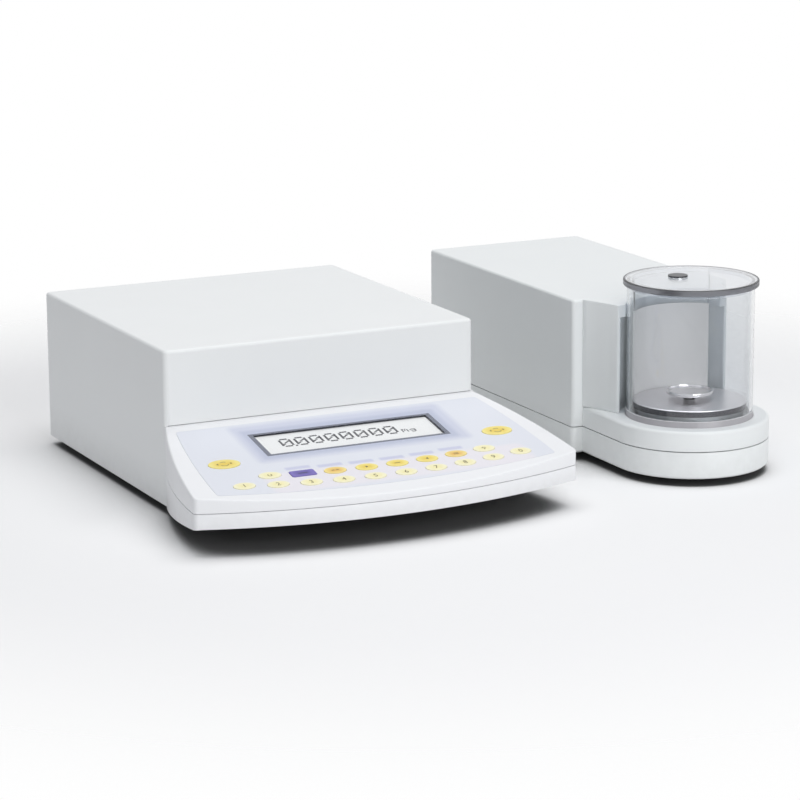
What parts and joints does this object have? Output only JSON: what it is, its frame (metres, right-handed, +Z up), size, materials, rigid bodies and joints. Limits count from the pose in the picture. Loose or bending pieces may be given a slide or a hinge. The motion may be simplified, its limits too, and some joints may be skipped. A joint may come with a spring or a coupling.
{
  "type": "mass comparator",
  "caption": "Mass comparator: a control unit with a sloping keyboard and display beside a weighing cell with a round glass draught shield, lid and small pan.",
  "frame": {"origin": "on the table, under the middle of the pair's overall box", "axes": "+X to the right along the pair, +Y to the back, +Z up; keyboard and draught shield face -Y"},
  "size_m": [0.5082, 0.394, 0.1503],
  "materials": {
    "housing_white": "fine matt paint",
    "cover_white": "fine matt paint",
    "cell_white": "fine matt paint",
    "overlay_film": "printed film",
    "window_clear": "clear with a printed frame",
    "display_module": "display glass in a dark frame",
    "circuit_board": "solder mask",
    "panel_grey": "satin",
    "connector_black": "moulded",
    "connector_metal": "tinned shell",
    "rubber_black": "matt",
    "steel": "zinc plated",
    "polished_steel": "polished",
    "cast_aluminium": "cast and machined",
    "machined_aluminium": "machined",
    "shield_glass": "clear, polished edges",
    "dark_plastic": "fine texture",
    "gear_plastic": "moulded",
    "motor_steel": "drawn can",
    "coil_copper": "enamelled wire",
    "key_yellow": "satin",
    "key_violet": "satin",
    "key_pale": "satin"
  },
  "bodies": {
    "units": {"unit_base_pan": "housing_white", "unit_top_cover": "cover_white", "keyboard_housing": "housing_white", "keyboard_overlay": "overlay_film", "display_window": "window_clear", "display_module": "display_module", "key_board": "circuit_board", "main_board": "circuit_board", "unit_rear_panel": "panel_grey", "power_inlet": "connector_black", "data_port": "connector_metal", "cell_link_port": "connector_metal", "rubber_feet": "rubber_black", "rear_screws": "steel", "cell_base": "cell_white", "cell_cover": "cell_white", "shield_housing": "cell_white", "chamber_tier": "cell_white", "chamber_hub": "cast_aluminium", "chamber_floor": "polished_steel", "chamber_back_panel": "panel_grey", "drive_motor": "motor_steel", "balance_frame": "cast_aluminium", "magnet_pot": "steel", "cell_rear_panel": "panel_grey", "cell_port": "connector_metal", "chamber_rear_pane": "shield_glass"},
    "shield": {"shield_glass": "shield_glass", "shield_carrier": "dark_plastic"},
    "pinion": {"drive_pinion": "gear_plastic"},
    "lid": {"shield_lid": "shield_glass"},
    "plug": {"lid_plug": "dark_plastic"},
    "pan": {"weighing_pan": "polished_steel"},
    "receptor": {"load_receptor": "machined_aluminium"},
    "lower_guide": {"lower_guide": "machined_aluminium"},
    "upper_guide": {"upper_guide": "machined_aluminium"},
    "lever": {"transmission_lever": "machined_aluminium", "force_coil": "coil_copper"},
    "foot_left": {"levelling_foot_left": "dark_plastic"},
    "foot_right": {"levelling_foot_right": "dark_plastic"},
    "shield_key_left": {"shield_key_left": "key_yellow"},
    "shield_key_right": {"shield_key_right": "key_yellow"},
    "mode_key": {"mode_key": "key_violet"},
    "function_key_1": {"function_key_1": "key_pale"},
    "function_key_3": {"function_key_3": "key_yellow"},
    "function_key_4": {"function_key_4": "key_yellow"},
    "function_key_5": {"function_key_5": "key_yellow"},
    "function_key_6": {"function_key_6": "key_yellow"},
    "function_key_7": {"function_key_7": "key_yellow"},
    "function_key_8": {"function_key_8": "key_pale"},
    "digit_key_0": {"digit_key_0": "key_pale"},
    "digit_key_1": {"digit_key_1": "key_pale"},
    "digit_key_2": {"digit_key_2": "key_pale"},
    "digit_key_3": {"digit_key_3": "key_pale"},
    "digit_key_4": {"digit_key_4": "key_pale"},
    "digit_key_5": {"digit_key_5": "key_pale"},
    "digit_key_6": {"digit_key_6": "key_pale"},
    "digit_key_7": {"digit_key_7": "key_pale"},
    "digit_key_8": {"digit_key_8": "key_pale"},
    "digit_key_9": {"digit_key_9": "key_pale"}
  },
  "joints": [
    {"name": "shield_turn", "type": "hinge", "parent": "units", "child": "shield", "pos_m": [0.18375, -0.106, 0.095], "axis": [0, 0, 1], "range_deg": [-95, 95]},
    {"name": "pinion_turn", "type": "hinge", "parent": "units", "child": "pinion", "pos_m": [0.153, -0.05274, 0.033], "axis": [0, 0, 1], "range_deg": [-470, 470]},
    {"name": "lid_lift", "type": "slide", "parent": "shield", "child": "lid", "axis": [0, 0, 1], "range_m": [0, 0.04]},
    {"name": "plug_lift", "type": "slide", "parent": "lid", "child": "plug", "axis": [0, 0, 1], "range_m": [0, 0.02]},
    {"name": "pan_lift", "type": "slide", "parent": "receptor", "child": "pan", "axis": [0, 0, 1], "range_m": [0, 0.06]},
    {"name": "receptor_deflection", "type": "slide", "parent": "units", "child": "receptor", "axis": [0, 0, -1], "range_m": [0, 0.0002], "stiffness_N_per_m": 20000},
    {"name": "lower_guide_flex", "type": "hinge", "parent": "units", "child": "lower_guide", "pos_m": [0.18375, 0.0397, 0.029], "axis": [1, 0, 0], "range_deg": [-1, 1]},
    {"name": "upper_guide_flex", "type": "hinge", "parent": "units", "child": "upper_guide", "pos_m": [0.18375, 0.0397, 0.081], "axis": [1, 0, 0], "range_deg": [-1, 1]},
    {"name": "lever_swing", "type": "hinge", "parent": "units", "child": "lever", "pos_m": [0.18375, 0.054, 0.053], "axis": [1, 0, 0], "range_deg": [-1, 1]},
    {"name": "foot_left_turn", "type": "hinge", "parent": "units", "child": "foot_left", "pos_m": [0.13175, 0.166, 0.01], "axis": [0, 0, 1], "continuous": true},
    {"name": "foot_right_turn", "type": "hinge", "parent": "units", "child": "foot_right", "pos_m": [0.23575, 0.166, 0.01], "axis": [0, 0, 1], "continuous": true},
    {"name": "shield_key_left_press", "type": "slide", "parent": "units", "child": "shield_key_left", "axis": [0, 0.1994, -0.9799], "range_m": [0, 0.0006], "stiffness_N_per_m": 900},
    {"name": "shield_key_right_press", "type": "slide", "parent": "units", "child": "shield_key_right", "axis": [0, 0.1994, -0.9799], "range_m": [0, 0.0006], "stiffness_N_per_m": 900},
    {"name": "mode_key_press", "type": "slide", "parent": "units", "child": "mode_key", "axis": [0, 0.1994, -0.9799], "range_m": [0, 0.0006], "stiffness_N_per_m": 900},
    {"name": "function_key_1_press", "type": "slide", "parent": "units", "child": "function_key_1", "axis": [0, 0.1994, -0.9799], "range_m": [0, 0.0006], "stiffness_N_per_m": 900},
    {"name": "function_key_3_press", "type": "slide", "parent": "units", "child": "function_key_3", "axis": [0, 0.1994, -0.9799], "range_m": [0, 0.0006], "stiffness_N_per_m": 900},
    {"name": "function_key_4_press", "type": "slide", "parent": "units", "child": "function_key_4", "axis": [0, 0.1994, -0.9799], "range_m": [0, 0.0006], "stiffness_N_per_m": 900},
    {"name": "function_key_5_press", "type": "slide", "parent": "units", "child": "function_key_5", "axis": [0, 0.1994, -0.9799], "range_m": [0, 0.0006], "stiffness_N_per_m": 900},
    {"name": "function_key_6_press", "type": "slide", "parent": "units", "child": "function_key_6", "axis": [0, 0.1994, -0.9799], "range_m": [0, 0.0006], "stiffness_N_per_m": 900},
    {"name": "function_key_7_press", "type": "slide", "parent": "units", "child": "function_key_7", "axis": [0, 0.1994, -0.9799], "range_m": [0, 0.0006], "stiffness_N_per_m": 900},
    {"name": "function_key_8_press", "type": "slide", "parent": "units", "child": "function_key_8", "axis": [0, 0.1994, -0.9799], "range_m": [0, 0.0006], "stiffness_N_per_m": 900},
    {"name": "digit_key_0_press", "type": "slide", "parent": "units", "child": "digit_key_0", "axis": [0, 0.1994, -0.9799], "range_m": [0, 0.0006], "stiffness_N_per_m": 900},
    {"name": "digit_key_1_press", "type": "slide", "parent": "units", "child": "digit_key_1", "axis": [0, 0.1994, -0.9799], "range_m": [0, 0.0006], "stiffness_N_per_m": 900},
    {"name": "digit_key_2_press", "type": "slide", "parent": "units", "child": "digit_key_2", "axis": [0, 0.1994, -0.9799], "range_m": [0, 0.0006], "stiffness_N_per_m": 900},
    {"name": "digit_key_3_press", "type": "slide", "parent": "units", "child": "digit_key_3", "axis": [0, 0.1994, -0.9799], "range_m": [0, 0.0006], "stiffness_N_per_m": 900},
    {"name": "digit_key_4_press", "type": "slide", "parent": "units", "child": "digit_key_4", "axis": [0, 0.1994, -0.9799], "range_m": [0, 0.0006], "stiffness_N_per_m": 900},
    {"name": "digit_key_5_press", "type": "slide", "parent": "units", "child": "digit_key_5", "axis": [0, 0.1994, -0.9799], "range_m": [0, 0.0006], "stiffness_N_per_m": 900},
    {"name": "digit_key_6_press", "type": "slide", "parent": "units", "child": "digit_key_6", "axis": [0, 0.1994, -0.9799], "range_m": [0, 0.0006], "stiffness_N_per_m": 900},
    {"name": "digit_key_7_press", "type": "slide", "parent": "units", "child": "digit_key_7", "axis": [0, 0.1994, -0.9799], "range_m": [0, 0.0006], "stiffness_N_per_m": 900},
    {"name": "digit_key_8_press", "type": "slide", "parent": "units", "child": "digit_key_8", "axis": [0, 0.1994, -0.9799], "range_m": [0, 0.0006], "stiffness_N_per_m": 900},
    {"name": "digit_key_9_press", "type": "slide", "parent": "units", "child": "digit_key_9", "axis": [0, 0.1994, -0.9799], "range_m": [0, 0.0006], "stiffness_N_per_m": 900}
  ],
  "couplings": [
    {"joint": "pinion_turn", "follows": "shield_turn", "ratio": -4.8571},
    {"joint": "lower_guide_flex", "follows": "receptor_deflection", "rad_per_m": 26.738},
    {"joint": "upper_guide_flex", "follows": "receptor_deflection", "rad_per_m": 26.738},
    {"joint": "lever_swing", "follows": "receptor_deflection", "rad_per_m": 16.667}
  ]
}
